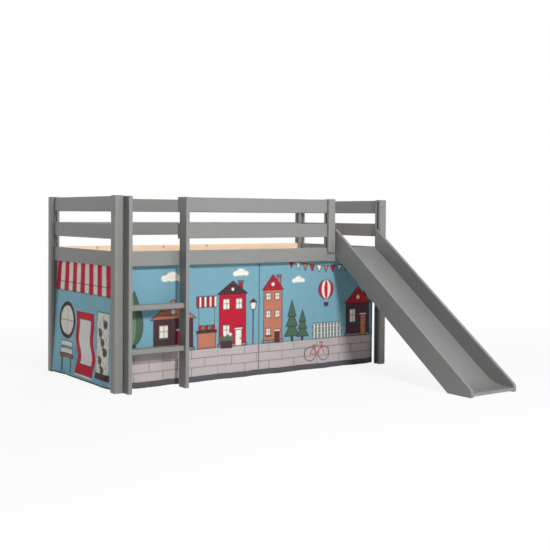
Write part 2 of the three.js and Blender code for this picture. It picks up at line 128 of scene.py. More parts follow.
# %% Floor
FLOOR_SIZE = 60.0
FLOOR_DROP = 0.2 * MM
FLOOR_COLOUR = "f4f4f2"
FLOOR_SHOWS_SHADOW = 0.11
FADE_FROM = 1.4
FADE_TO = 5.0


def floor_material():
    material, tree = new_material("pale_studio_floor")
    place = add(tree, "TexCoord")
    away = add(tree, "VectorMath", {"operation": "LENGTH"}, {0: place.outputs["Object"]})
    fade = add(tree, "MapRange", {"interpolation_type": "SMOOTHSTEP"},
               {"Value": away.outputs["Value"], "From Min": FADE_FROM, "From Max": FADE_TO,
                "To Min": 1 - FLOOR_SHOWS_SHADOW, "To Max": 1.0})
    share = calculate(tree, "MULTIPLY", seen_share(tree), fade.outputs[0])
    matt = add(tree, "BsdfDiffuse", (), {"Color": rgba(FLOOR_COLOUR)})
    white = add(tree, "Emission", (), {"Color": rgba(WHITE), "Strength": 1.0})
    both = add(tree, "MixShader", (), {0: share, 1: matt.outputs[0], 2: white.outputs[0]})
    add(tree, "OutputMaterial", (), {"Surface": both.outputs[0]})
    return material


def build_floor():
    mesh = bmesh.new()
    bmesh.ops.create_grid(mesh, x_segments=1, y_segments=1, size=FLOOR_SIZE / 2)
    bmesh.ops.translate(mesh, verts=mesh.verts, vec=(0, 0, -FLOOR_DROP))
    data = bpy.data.meshes.new("studio_floor")
    mesh.to_mesh(data)
    mesh.free()
    floor = bpy.data.objects.new("studio_floor", data)
    scene.collection.objects.link(floor)
    data.materials.append(floor_material())


build_floor()
print("floor fades to plain white between", FADE_FROM, "and", FADE_TO, "m from the middle")

# %% [markdown]
# A small lamp high in front is the strongest. It makes the front faces the brightest, and it draws
# the narrow shadows of rails, rungs and slide on the cloth. Large weaker lamps fill the other sides,
# each at its own level, and that difference between the sides of a post shows the frame's depth.
# A studio's walls send back a little light too, and a weak white world stands for them.

# %% World and lamps
WORLD_LIGHT = 0.04
BED_MIDDLE = (0.0, 0.0, 0.5)
BED_AND_SLIDE_MIDDLE = (0.6, -0.4, 0.5)
# A row holds the lamp's name, its place, what it aims at, its width in metres and its watts.
LAMPS = (
    ("front_spot", (-0.75, -5.6, 3.7), BED_MIDDLE, 1.0, 325),
    ("right_softbox", (3.4, -6.0, 2.4), BED_MIDDLE, 3.0, 62),
    ("left_softbox", (-4.6, 5.6, 3.2), BED_MIDDLE, 2.4, 107),
    ("top_softbox", (0.8, -0.8, 5.2), BED_AND_SLIDE_MIDDLE, 3.0, 31),
    ("back_softbox", (3.0, 6.0, 3.0), BED_MIDDLE, 3.0, 190),
)


def build_world():
    world = bpy.data.worlds.new("studio")
    scene.world = world
    world.use_nodes = True
    tree = world.node_tree
    tree.nodes.clear()
    light = add(tree, "Background", (), {"Color": rgba(WHITE), "Strength": WORLD_LIGHT})
    shown = add(tree, "Background", (), {"Color": rgba(WHITE), "Strength": 1.0})
    both = add(tree, "MixShader", (), {0: seen_share(tree), 1: light.outputs[0], 2: shown.outputs[0]})
    add(tree, "OutputWorld", (), {"Surface": both.outputs[0]})


def add_lamp(name, place, aim, size, power):
    lamp = bpy.data.lights.new(name, "AREA")
    lamp.shape = "SQUARE"
    lamp.size = size
    lamp.energy = power
    holder = bpy.data.objects.new(name, lamp)
    scene.collection.objects.link(holder)
    holder.location = place
    holder.rotation_mode = "QUATERNION"
    holder.rotation_quaternion = (Vector(aim) - Vector(place)).to_track_quat("-Z", "Y")


build_world()
for row in LAMPS:
    add_lamp(*row)
print("lit by", len(LAMPS), "lamps with", sum(row[-1] for row in LAMPS), "watts in all")

# %% [markdown]
# The camera stands where the photographer stood. Its place, turn and lens were solved from the
# straight edges of the frame. The picture is cropped a little below the lens axis, which is the shift.

# %% Camera
CAMERA_PLACE = (-3.45156, -4.88004, 1.04284)
CAMERA_YAW = math.radians(35.314)
CAMERA_PITCH = math.radians(1.227)
CAMERA_ROLL = math.radians(0.395)
PHOTO_WIDTH = 550
FOCAL_PIXELS = 952.6
AXIS_ROW = 234.8
SENSOR_WIDTH = 36.0


def build_camera():
    ahead = Vector((math.sin(CAMERA_YAW) * math.cos(CAMERA_PITCH),
                    math.cos(CAMERA_YAW) * math.cos(CAMERA_PITCH), -math.sin(CAMERA_PITCH)))
    right = Vector((math.cos(CAMERA_YAW), -math.sin(CAMERA_YAW), 0))
    up = right.cross(ahead)
    rolled_right = right * math.cos(CAMERA_ROLL) + up * math.sin(CAMERA_ROLL)
    rolled_up = up * math.cos(CAMERA_ROLL) - right * math.sin(CAMERA_ROLL)
    data = bpy.data.cameras.new("camera")
    data.sensor_width = SENSOR_WIDTH
    data.lens = FOCAL_PIXELS / PHOTO_WIDTH * SENSOR_WIDTH
    data.shift_y = (AXIS_ROW - PHOTO_WIDTH / 2) / PHOTO_WIDTH
    camera = bpy.data.objects.new("camera", data)
    scene.collection.objects.link(camera)
    axes = Matrix((rolled_right, rolled_up, -ahead)).transposed()
    camera.matrix_world = Matrix.Translation(CAMERA_PLACE) @ axes.to_4x4()
    scene.camera = camera
    print("lens", round(data.lens, 2), "mm, shift", round(data.shift_y, 4))


build_camera()
scene.view_settings.view_transform = "Standard"

# %% [markdown]
# Lacquer over softwood is satin and nearly even, but the grain still telegraphs through it as long
# faint streaks and tiny ridges. Noise that is stretched along the board gives both. The board's
# direction matters to the eye, so there is one lacquer for each direction that a board can run.

# %% Grey lacquer on softwood
GRAIN_ACROSS = 5 * MM
GRAIN_ALONG = 260 * MM
GRAIN_RIDGE = 0.12 * MM
STREAK_SHARE = 0.6
CLOUDS_PER_METRE = 3.0
SHINE_SPREAD = 0.06
LACQUER_LIGHT = "90908e"
LACQUER_DARK = "7f7f7e"
LACQUER_ROUGHNESS = 0.46
LACQUER_IOR = 1.48
AXES = {"x": 0, "y": 1, "z": 2}


def grain_vector(tree, along, turn=(0, 0, 0)):
    """Object coordinates, squeezed across the board and stretched along it."""
    place = add(tree, "TexCoord")
    turned = add(tree, "Mapping", {"vector_type": "POINT"},
                 {"Vector": place.outputs["Object"], "Rotation": turn})
    scale = [1 / GRAIN_ACROSS] * 3
    scale[AXES[along]] = 1 / GRAIN_ALONG
    return add(tree, "Mapping", (), {"Vector": turned.outputs[0], "Scale": scale})


def lacquer(name, along, light, dark, roughness, turn=(0, 0, 0)):
    material, tree = new_material(name)
    vector = grain_vector(tree, along, turn)
    streaks = add(tree, "TexNoise", (),
                  {"Vector": vector.outputs[0], "Scale": 1.0, "Detail": 5.0, "Roughness": 0.6})
    place = add(tree, "TexCoord")
    clouds = add(tree, "TexNoise", (),
                 {"Vector": place.outputs["Object"], "Scale": CLOUDS_PER_METRE, "Detail": 2.0})
    cloudy = calculate(tree, "MULTIPLY", clouds.outputs["Fac"], 1 - STREAK_SHARE)
    both = calculate(tree, "MULTIPLY_ADD", streaks.outputs["Fac"], STREAK_SHARE, cloudy, clamp=True)
    colour = blend(tree, both, rgba(dark), rgba(light))
    shine = add(tree, "MapRange", (),
                {"Value": streaks.outputs["Fac"], "To Min": roughness - SHINE_SPREAD,
                 "To Max": roughness + SHINE_SPREAD})
    ridges = add(tree, "Bump", (),
                 {"Height": streaks.outputs["Fac"], "Strength": 0.6, "Distance": GRAIN_RIDGE})
    set_surface(tree, {"Base Color": colour, "Roughness": shine.outputs[0],
                       "Normal": ridges.outputs[0], "IOR": LACQUER_IOR})
    return material


lacquers = {axis: lacquer(f"grey_lacquer_{axis}", axis, LACQUER_LIGHT, LACQUER_DARK, LACQUER_ROUGHNESS)
            for axis in AXES}
print("mixed", len(lacquers), "lacquers, for boards along", ", ".join(lacquers))

# %% [markdown]
# The slide is the same paint on laminated board, rubbed smoother so that clothes glide on it.
# Its grain follows the slope. The slope is measured from the frame, not typed in.

# %% Slide lacquer
SLIDE_LIGHT = "8d8d8c"
SLIDE_DARK = "7e7e7d"
SLIDE_ROUGHNESS = 0.38
sheet_low, sheet_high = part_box("slide_sheet")
slide_angle = math.atan2(sheet_high.z - sheet_low.z, sheet_high.y - sheet_low.y)
slide_turn = (-slide_angle, 0, 0)
slide_lacquer = lacquer("slide_lacquer", "y", SLIDE_LIGHT, SLIDE_DARK, SLIDE_ROUGHNESS, slide_turn)
print("slide falls at about", round(math.degrees(slide_angle), 1), "degrees end to end")

# %% [markdown]
# Bare pine is pale and warm, with darker rings that run along the board, and knots.
# Bands bent by noise make the rings. The knots are the middles of a few scattered cells, each a
# small dark heart in a wider warm halo.

# %% Bare pine
RING_WIDTH = 14 * MM
RING_LENGTH = RING_WIDTH * 28
RING_BEND = 0.8
RING_DARK = "f9cfa6"
RING_LIGHT = "fff0dc"
FIBRE_SHARE = 0.25
KNOT_SPACING = 140 * MM
KNOT_RADIUS_SHARE = 0.04
KNOT_HALO_SHARE = KNOT_RADIUS_SHARE * 2.6
KNOTS = ((KNOT_HALO_SHARE, "e3b384"), (KNOT_RADIUS_SHARE, "9c6a42"))
KNOT_CORE_SHARE = 0.4
KNOT_STRENGTH = 0.85
PINE_ROUGHNESS = 0.62
PINE_IOR = 1.5


def bare_pine(name, along):
    material, tree = new_material(name)
    vector = grain_vector(tree, along)
    fibres = add(tree, "TexNoise", (), {"Vector": vector.outputs[0], "Scale": 1.0, "Detail": 6.0})
    place = add(tree, "TexCoord")
    stretch = [1 / RING_WIDTH] * 3
    stretch[AXES[along]] = 1 / RING_LENGTH
    rings_at = add(tree, "Mapping", (), {"Vector": place.outputs["Object"], "Scale": stretch})
    rings = add(tree, "TexNoise", (),
                {"Vector": rings_at.outputs[0], "Scale": 1.0, "Detail": 2.0, "Distortion": RING_BEND})
    parts = add(tree, "SeparateXYZ", (), {0: place.outputs["Object"]})
    face = add(tree, "CombineXYZ", (), {0: parts.outputs[0], 1: parts.outputs[2 if along == "x" else 1]})
    cells = add(tree, "TexVoronoi", {"voronoi_dimensions": "2D"},
                {"Vector": face.outputs[0], "Scale": 1 / KNOT_SPACING})
    ringed = blend(tree, rings.outputs["Fac"], rgba(RING_DARK), rgba(RING_LIGHT))
    wood = add(tree, "Mix", {"data_type": "RGBA", "blend_type": "OVERLAY"},
               {0: FIBRE_SHARE, 6: ringed, 7: fibres.outputs["Color"]}).outputs[2]
    for radius, code in KNOTS:
        knot = add(tree, "MapRange", {"interpolation_type": "SMOOTHSTEP"},
                   {"Value": cells.outputs["Distance"], "From Min": radius * KNOT_CORE_SHARE,
                    "From Max": radius, "To Min": KNOT_STRENGTH, "To Max": 0.0})
        wood = blend(tree, knot.outputs[0], wood, rgba(code))
    ridges = add(tree, "Bump", (),
                 {"Height": fibres.outputs["Fac"], "Strength": 0.5, "Distance": GRAIN_RIDGE})
    set_surface(tree, {"Base Color": wood, "Roughness": PINE_ROUGHNESS,
                       "Normal": ridges.outputs[0], "IOR": PINE_IOR})
    return material


pines = {axis: bare_pine(f"bare_pine_{axis}", axis) for axis in ("x", "y")}
print("mixed", len(pines), "pines, for boards along", ", ".join(pines))

# %% [markdown]
# Two small finishes are left. The bolt caps are enamelled steel, smooth with a faint orange peel.
# The hook tape is a mat of nylon hooks, so it is dark, rough and bumpy.

# %% Cap enamel and hook tape


def speckled(name, light, dark, grit, height, roughness):
    material, tree = new_material(name)
    place = add(tree, "TexCoord")
    grains = add(tree, "TexNoise", (),
                 {"Vector": place.outputs["Object"], "Scale": 1 / grit, "Detail": 3.0})
    colour = blend(tree, grains.outputs["Fac"], rgba(dark), rgba(light))
    bumps = add(tree, "Bump", (),
                {"Height": grains.outputs["Fac"], "Strength": 0.6, "Distance": height})
    set_surface(tree, {"Base Color": colour, "Roughness": roughness, "Normal": bumps.outputs[0]})
    return material


cap_enamel = speckled("grey_cap_enamel", light="8e8e8c", dark="7c7c7a",
                      grit=1.2 * MM, height=0.05 * MM, roughness=0.32)
hook_tape = speckled("nylon_hook_tape", light="4c4d52", dark="35363a",
                     grit=1.6 * MM, height=0.6 * MM, roughness=0.9)
print("mixed", cap_enamel.name, "and", hook_tape.name)

# %% [markdown]
# Each solid gets its finish from the slot that the record names, and its grain from its longest side.

# %% Dress the solids


def longest_axis(name):
    low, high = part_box(name)
    size = high - low
    return max(AXES, key=lambda axis: size[AXES[axis]])


def finish_of(name, slot_name):
    if slot_name == "grey_lacquer":
        return lacquers[longest_axis(name)]
    if slot_name == "bare_pine":
        return pines[longest_axis(name)]
    return {"slide_lacquer": slide_lacquer, "bolt_cap": cap_enamel}.get(slot_name, hook_tape)


slots = {row["node"]: row["material_slot"] for row in frame["record"]["subparts"]}
for name, node in nodes.items():
    node.data.materials.clear()
    node.data.materials.append(finish_of(name, slots[name]))
print("dressed", len(nodes), "solids")

# %% [markdown]
# The curtains are thin printed cotton. The print is drawn here as plain shapes, and each point of
# the cloth takes the colour of the shape that it lies in. A distance to the shape's edge, rather than
# a yes or no, keeps the edges clean.
# The end curtain's inks are paler and stronger copies of the front's, which is painted light: that end
# stands in weaker light, and in the photograph its print looks nearly as bright as the one in front.

# %% Ink colours
INK = {"sky": "79a7b8", "ground": "bdb3b3", "joint": "5a5257", "hem": "57575b", "line": "2f2a2e",
       "red": "bc1f35", "brown": "4f353b", "coral": "bd7862", "cream": "efebdf", "leaf": "4d6a55",
       "pale_leaf": "6f8d6c", "grey": "fdfcfa", "shade": "8f8a8c", "end_sky_painted_light": "97cfe2",
       "end_cream_painted_light": "fffdf6", "end_red_painted_light": "e3263f", "lath": "c9c6c2"}
EDGE_SOFTNESS = 4 * MM
LINE_WIDTH = 5 * MM
STROKE_HALF_SHARE = 0.55
print("print uses", len(INK), "inks")

# %% Artwork on the cloth


class Drawing:
    """Colours for points on flat cloth; lengths are shares of the cloth's height."""

    def __init__(self, points, height, ground):
        self.points = np.array(points, float) / height
        self.soft = EDGE_SOFTNESS / height
        self.line = LINE_WIDTH / height
        self.colour = np.tile(srgb(INK[ground]), (len(points), 1))

    def ink(self, distance, name):
        cover = np.clip(0.5 - distance / self.soft, 0, 1)[:, None]
        self.colour = self.colour * (1 - cover) + np.array(srgb(INK[name])) * cover

    def outline(self, distance, name="line"):
        self.ink(np.abs(distance) - self.line / 2, name)

    def shape(self, corners, name, lined=True):
        distance = self.distance_to(corners)
        self.ink(distance, name)
        if lined:
            self.outline(distance)

    def box(self, left, low, right, high, name, lined=True):
        self.shape([(left, low), (right, low), (right, high), (left, high)], name, lined)

    def boxes(self, x, z, rows):
        """Boxes at a place; a row holds the ink, whether it is lined, and the four edges."""
        for name, lined, left, low, right, high in rows:
            self.box(x + left, z + low, x + right, z + high, name, lined)

    def disc(self, x, z, radius, name, lined=True, squash=1.0):
        offset = (self.points - (x, z)) / (1, squash)
        distance = np.linalg.norm(offset, axis=1) - radius
        self.ink(distance, name)
        if lined:
            self.outline(distance)

    def stroke(self, start, end, name):
        to_line = self.to_segment(np.array(start), np.array(end))
        self.ink(to_line - self.line * STROKE_HALF_SHARE, name)

    def to_segment(self, start, end):
        edge = end - start
        offset = self.points - start
        share = np.clip(offset @ edge / (edge @ edge), 0, 1)
        return np.linalg.norm(offset - share[:, None] * edge, axis=1)

    def distance_to(self, corners):
        """Signed distance to a closed outline, less than zero inside it."""
        points = self.points
        nearest = np.full(len(points), np.inf)
        inside = np.zeros(len(points), bool)
        ends = np.array(corners, float)
        for start, end in zip(ends, np.roll(ends, -1, axis=0)):
            edge = end - start
            nearest = np.minimum(nearest, self.to_segment(start, end))
            spans = (start[1] > points[:, 1]) != (end[1] > points[:, 1])
            rise = edge[1] if edge[1] else 1.0
            inside ^= spans & (points[:, 0] < start[0] + (points[:, 1] - start[1]) * edge[0] / rise)
        return np.where(inside, -nearest, nearest)


# %% [markdown]
# The front curtains show a made-up street. A small function draws each kind of thing. A size that
# is multiplied by the thing's own width or height is a share of it, and every other size is a share
# of the cloth's height. A house is a wall with a gable, a chimney, a door, a flower box and two
# windows on each floor above the door.

# %% Windows, doors and chimneys
GROUND = 0.27
HEM_SHARE = 0.045


def draw_window(art, left, low, width, height):
    art.box(left, low, left + width, low + height, "cream")
    middle = left + width / 2
    bar_z = low + height / 2
    art.box(middle, low, middle + art.line, low + height, "shade", False)
    art.box(left, bar_z, left + width, bar_z + art.line, "shade", False)


def draw_door(art, left, width, storey, ink):
    right = left + width
    head = GROUND + storey * 0.62
    reach, thick, knob = 0.01, 0.018, 0.007
    art.box(left - reach, head, right + reach, head + thick, "cream")
    art.box(left, GROUND, right, head, ink)
    art.disc(left + width * 0.8, GROUND + storey * 0.28, knob, "line", False)


def draw_chimney(art, left, foot, top, ink):
    width, reach, thick = 0.035, 0.008, 0.015
    art.box(left, foot, left + width, top, ink)
    art.box(left - reach, top, left + width + reach, top + thick, "shade")


# %% A house
TILE_COURSES = 3
COURSE_SHARE = 1 / 4.6
WINDOW_SHARES = (0.14, 0.62)


def draw_roof(art, left, right, foot, height, ink):
    middle = (left + right) / 2
    eave = (right - left) * 0.08
    gable = [(left - eave, foot), (right + eave, foot), (middle, foot + height)]
    art.shape(gable, ink)
    on_roof = art.distance_to(gable)
    for course in range(1, TILE_COURSES + 1):
        z = foot + height * course * COURSE_SHARE
        to_line = np.abs(art.points[:, 1] - z) - art.line * 0.22
        art.ink(np.maximum(to_line, on_roof), "line")
    art.disc(middle, foot + height * 0.36, height * 0.15, "cream")


def draw_house(art, left, width, wall, roof, wall_ink, roof_ink, door_ink, storeys):
    right = left + width
    top = GROUND + wall
    storey = wall / storeys
    pane = width * 0.24
    reach, plinth = 0.012, 0.022
    draw_chimney(art, left + width * 0.74, top, top + roof * 0.86, wall_ink)
    art.box(left, GROUND, right, top, wall_ink)
    art.box(left - reach, GROUND, right + reach, GROUND + plinth, "shade")
    draw_roof(art, left, right, top, roof, roof_ink)
    for level in range(storeys):
        low = GROUND + storey * (level + 0.42)
        for share in WINDOW_SHARES if level else WINDOW_SHARES[:1]:
            draw_window(art, left + width * share, low, pane, storey * 0.4)
    draw_door(art, left + width * 0.6, pane, storey, door_ink)
    flowers = left + width * 0.12
    art.box(flowers, GROUND + storey * 0.36, flowers + pane * 1.25, GROUND + storey * 0.42, "leaf")


# %% [markdown]
# Two kinds of tree break the row of houses. The poplar's outline is a sine wave that is pushed
# towards its foot, and the fir is a stack of triangles.

# %% Trees
POPLAR_FOOT_SHARE = 0.13
POPLAR_STEPS = 13
POPLAR_BULGE = 0.7
FIR_TIERS = 3


def draw_poplar(art, x, height, width):
    """A narrow tree, pointed like a flame, with a paler stripe on its lit side."""
    trunk = width * 0.08
    art.box(x - trunk, GROUND, x + trunk, GROUND + height * 0.2, "brown")
    steps = np.linspace(0, 1, POPLAR_STEPS)
    swell = np.sin(np.pi * steps ** POPLAR_BULGE) * width / 2
    rise = GROUND + height * (POPLAR_FOOT_SHARE + (1 - POPLAR_FOOT_SHARE) * steps)
    stripe = x - width * 0.12
    for name, middle, share, lined in (("leaf", x, 1.0, True), ("pale_leaf", stripe, 0.45, False)):
        right = np.c_[middle + swell * share, rise]
        left = np.c_[middle - swell * share, rise][-2:0:-1]
        art.shape(np.r_[right, left], name, lined)


def draw_fir(art, x, height, width):
    trunk = width * 0.06
    low = GROUND + height * 0.12
    art.box(x - trunk, GROUND, x + trunk, low, "brown")
    for tier in range(FIR_TIERS):
        foot = low + height * 0.24 * tier
        half = width * (0.5 - 0.11 * tier)
        art.shape([(x - half, foot), (x + half, foot), (x, foot + height * 0.4)], "leaf")


# %% [markdown]
# The bicycle's joints are written in wheel radii from the middle of its hubs, so one size sets it
# all. Its tubes are strokes between those joints.

# %% A bicycle and a fence
BICYCLE_SHARES = {"back": (-1.2, 0), "front": (1.2, 0), "pedals": (-0.1, -0.05),
                  "saddle": (-0.5, 1.2), "head": (0.8, 1.15), "bars": (0.7, 1.6)}
BICYCLE_TUBES = (("back", "saddle"), ("back", "pedals"), ("pedals", "saddle"),
                 ("pedals", "head"), ("saddle", "head"), ("front", "bars"))
BICYCLE_TOP_SHARES = {"saddle": 0.3, "bars": 0.35}
RAIL_PLACE_SHARES = (0.3, 0.7)


def draw_bicycle(art, x, low, radius):
    """Two wheels and a frame of tubes; low is the wheels' foot."""
    hub_z = low + radius
    joints = {name: (x + radius * across, hub_z + radius * up)
              for name, (across, up) in BICYCLE_SHARES.items()}
    for wheel in ("back", "front"):
        art.outline(np.linalg.norm(art.points - joints[wheel], axis=1) - radius)
    for start, end in BICYCLE_TUBES:
        art.stroke(joints[start], joints[end], "red")
    for name, share in BICYCLE_TOP_SHARES.items():
        middle, z = joints[name]
        half = radius * share
        art.stroke((middle - half, z), (middle + half, z), "line")


def draw_fence(art, left, right, height, pales):
    for share in RAIL_PLACE_SHARES:
        rail = GROUND + height * share
        art.box(left, rail, right, rail + height * 0.12, "cream")
    pitch = (right - left) / pales
    for i in range(pales):
        x = left + pitch * (i + 0.2)
        art.box(x, GROUND, x + pitch * 0.55, GROUND + height, "cream")


# %% [markdown]
# The sky holds clouds, a balloon and a string of flags. A cloud is three flat discs. The balloon's
# stripes are narrower discs over it, and its two ropes are slim triangles.

# %% Things in the sky
PUFF_SHARES = ((-0.9, 0, 0.55), (0, 0.2, 0.8), (0.95, 0, 0.5))
PUFF_SQUASH = 0.7
GORES = ((0.62, "cream"), (0.24, "red"))
ROPE_TOP_SHARES = ((0.62, 0.8), (0.55, 0.82))
FLAG_INKS = ("red", "cream", "coral")


def draw_cloud(art, x, z, size):
    for across, up, share in PUFF_SHARES:
        art.disc(x + size * across, z + size * up, size * share, "cream", False, PUFF_SQUASH)


def draw_balloon(art, x, z, radius):
    art.disc(x, z, radius, "red")
    for squeeze, ink in GORES:
        offset = (art.points - (x, z)) / (squeeze, 1)
        art.ink(np.linalg.norm(offset, axis=1) - radius * 0.99, ink)
    basket = radius * 0.28
    basket_top = z - radius * 1.4
    art.box(x - basket, z - radius * 1.75, x + basket, basket_top, "brown")
    for side in (-1, 1):
        tops = [(x + side * radius * across, z - radius * down) for across, down in ROPE_TOP_SHARES]
        art.shape([(x + side * basket, basket_top), *tops], "line", False)


def draw_bunting(art, left, right, top, sag, flags):
    """A string of small flags that sags between its two ends."""
    middle, half = (left + right) / 2, (right - left) / 2

    def line_z(x):
        return top - sag * (1 - ((x - middle) / half) ** 2)

    x = art.points[:, 0]
    string = np.abs(art.points[:, 1] - line_z(x)) - art.line * 0.3
    art.ink(np.maximum(string, np.abs(x - middle) - half), "line")
    pitch = (right - left) / flags
    for i in range(flags):
        start = left + pitch * (i + 0.12)
        end = start + pitch * 0.76
        tip = (start + end) / 2
        foot = (tip, line_z(tip) - pitch * 0.8)
        ink = FLAG_INKS[i % len(FLAG_INKS)]
        art.shape([(start, line_z(start)), (end, line_z(end)), foot], ink)


# %% [markdown]
# A market stall, a flower box and a lamp stand between the houses. The stall's cover has the same
# red and white stripes as the awning at the bed's end.

# %% Stall, planter and lamp post
STALL = (("brown", False, 0.009, 0, 0.0144, 0.34), ("brown", False, 0.1656, 0, 0.171, 0.34),
         ("coral", True, 0, 0, 0.18, 0.13), ("brown", True, -0.01, 0.13, 0.19, 0.148))
COVER_LOW = 0.34
COVER_TOP = 0.43
COVER_START = -0.009
COVER_STRIPE = 0.02475
COVER_STRIPES = 8
FRUITS = 5
FRUIT_START = 0.0288
FRUIT_PITCH = 0.0306
FRUIT_HEIGHT = 0.17
FRUIT_RADIUS = 0.021
PLANTS = 4
# A row holds a plant's part as its height over the planter's foot, its radius and its two inks.
PLANT_PARTS = ((0.075, 0.03, ("leaf", "leaf")), (0.1, 0.014, ("red", "cream")))
LANTERN = ((-0.022, 0), (0.022, 0), (0.032, 0.06), (-0.032, 0.06))
LANTERN_HAT = ((-0.04, 0.06), (0.04, 0.06), (0, 0.09))


def draw_stall(art, left):
    art.boxes(left, GROUND, STALL)
    for i in range(COVER_STRIPES):
        x = left + COVER_START + COVER_STRIPE * i
        art.box(x, GROUND + COVER_LOW, x + COVER_STRIPE, GROUND + COVER_TOP, ("red", "cream")[i % 2])
    for i in range(FRUITS):
        x = left + FRUIT_START + FRUIT_PITCH * i
        art.disc(x, GROUND + FRUIT_HEIGHT, FRUIT_RADIUS, ("red", "pale_leaf")[i % 2])


def draw_planter(art, x, width):
    drop, height, step = 0.012, 0.055, 0.012
    low, left = GROUND - drop, x - width / 2
    for i in range(PLANTS):
        place = left + width * (i + 0.5) / PLANTS
        for rise, radius, inks in PLANT_PARTS:
            art.disc(place, low + rise + step * (i % 2), radius, inks[i % 2], False)
    art.box(left, low, left + width, low + height, "brown")


def draw_lamp_post(art, x, height):
    foot = GROUND + height
    half = 0.006
    art.box(x - half, GROUND, x + half, foot, "line", False)
    for corners, ink in ((LANTERN, "cream"), (LANTERN_HAT, "brown")):
        art.shape([(x + across, foot + up) for across, up in corners], ink)


# %% [markdown]
# The street is paved with slabs in staggered rows. The table below lists what stands along it, in
# the order in which it is drawn, so a later thing covers an earlier one.

# %% The street on the two front curtains
PAVING_ROWS = 3
SLAB_WIDTH = 0.26
ROW_LINE_SHARE = 0.35
SLAB_LINE_SHARE = 0.3
# A row holds the function that draws a thing and its values, which are shares, inks and counts.
STREET = (
    (draw_cloud, 0.47, 0.86, 0.07),
    (draw_cloud, 1.13, 0.88, 0.055),
    (draw_cloud, 1.74, 0.8, 0.05),
    (draw_poplar, 0.13, 0.5, 0.15),
    (draw_house, 0.3, 0.36, 0.26, 0.16, "brown", "coral", "red", 1),
    (draw_stall, 0.705),
    (draw_house, 0.92, 0.26, 0.44, 0.11, "red", "brown", "cream", 2),
    (draw_planter, 0.99, 0.1),
    (draw_lamp_post, 1.26, 0.3),
    (draw_bunting, 1.62, 2.63, 0.985, 0.06, 13),
    (draw_house, 1.37, 0.19, 0.46, 0.13, "coral", "red", "brown", 3),
    (draw_fir, 1.67, 0.36, 0.17),
    (draw_fir, 1.79, 0.27, 0.13),
    (draw_balloon, 2.05, 0.71, 0.085),
    (draw_fence, 1.9, 2.24, 0.14, 9),
    (draw_bicycle, 1.95, 0.075, 0.062),
    (draw_house, 2.29, 0.27, 0.3, 0.15, "brown", "red", "coral", 1),
)


def draw_paving(art):
    """Slabs in staggered rows, from the hem up to the houses' foot."""
    x, z = art.points.T
    art.ink(np.maximum(HEM_SHARE - z, z - GROUND), "ground")
    height = (GROUND - HEM_SHARE) / PAVING_ROWS
    for row in range(PAVING_ROWS + 1):
        low = HEM_SHARE + height * row
        art.ink(np.abs(z - low) - art.line * ROW_LINE_SHARE, "joint")
        in_slab = (x + SLAB_WIDTH / 2 * (row % 2)) % SLAB_WIDTH
        to_joint = np.abs(in_slab - SLAB_WIDTH / 2) - art.line * SLAB_LINE_SHARE
        outside = np.maximum(low - z, z - low - height)
        if row < PAVING_ROWS:
            art.ink(np.maximum(to_joint, outside), "joint")


def draw_street(art):
    draw_paving(art)
    for draw, *values in STREET:
        draw(art, *values)
    over_hem = art.points[:, 1] - HEM_SHARE
    art.ink(over_hem, "hem")
    art.outline(over_hem)


print("street holds", len(STREET), "things")

# %% [markdown]
# The end curtain is the front of a garden hut under a striped awning. A trellis climbs on one side
# of its doorway, and a round window looks over a bench on the other.

# %% Things on the hut
CLIMBERS = 6
CLIMBER_TURN = 2.1
LEAF_RADIUS = 0.034
BLOSSOM_RADIUS = 0.017
BENCH = (("brown", False, -0.09, 0, -0.072, 0.13), ("brown", False, 0.072, 0, 0.09, 0.13),
         ("end_cream_painted_light", True, -0.11, 0.15, 0.11, 0.195), ("end_cream_painted_light", True, -0.11, 0.21, 0.11, 0.255),
         ("coral", True, -0.12, 0.12, 0.12, 0.145))


def draw_trellis(art, x, low, width, height):
    left, right, top = x - width / 2, x + width / 2, low + height
    art.box(left, low, right, top, "end_cream_painted_light")
    across, up = (art.points - (left, low)).T
    inside = art.distance_to([(left, low), (right, low), (right, top), (left, top)])
    pitch = width / 2
    for lean in (across + up, across - up):
        to_lath = np.abs((lean + pitch / 2) % pitch - pitch / 2) - art.line / 2
        art.ink(np.maximum(to_lath, inside), "lath")
    for i in range(CLIMBERS):
        leaf_x = x + width * 0.22 * math.sin(i * CLIMBER_TURN)
        leaf_z = low + height * (0.06 + 0.15 * i)
        art.disc(leaf_x, leaf_z, LEAF_RADIUS, "leaf", False)
        art.disc(leaf_x + 0.026, leaf_z + 0.024, BLOSSOM_RADIUS, ("red", "coral")[i % 2], False)
    reach, height = 0.012, 0.045
    art.box(left - reach, low - height, right + reach, low, "brown")


def draw_porthole(art, x, z, radius):
    art.disc(x, z, radius * 1.22, "brown")
    art.disc(x, z, radius, "end_cream_painted_light")
    offset = art.points - (x, z)
    inside = np.linalg.norm(offset, axis=1) - radius
    for part in offset.T:
        art.ink(np.maximum(np.abs(part) - art.line / 2, inside), "shade")


# %% [markdown]
# The awning's stripes spread towards its foot, where each ends in a shallow scallop. Thin bands mark
# the doorway's sill and the cloth's own foot. The hut's things are placed from the doorway's middle.

# %% The hut front on the end curtain
AWNING_FOOT_SHARE = 0.703
VALANCE_SHARE = 0.78
VALANCE_LINE_SHARE = 0.35
AWNING_STRIPES = 14
AWNING_FLARE = 0.16
STRIPE_LINE_SHARE = 0.15
SCALLOP_SHARE = 0.014
SILL_BAND_SHARE = 0.012
FOOT_BAND_SHARE = 0.009
FAR_OUTSIDE = 9
# The places across are counted from the doorway's middle.
TRELLIS = (-0.345, 0.1, 0.22, 0.48)
PORTHOLE = (0.35, 0.46, 0.125)
BENCH_PLACE = (0.345, 0.03)


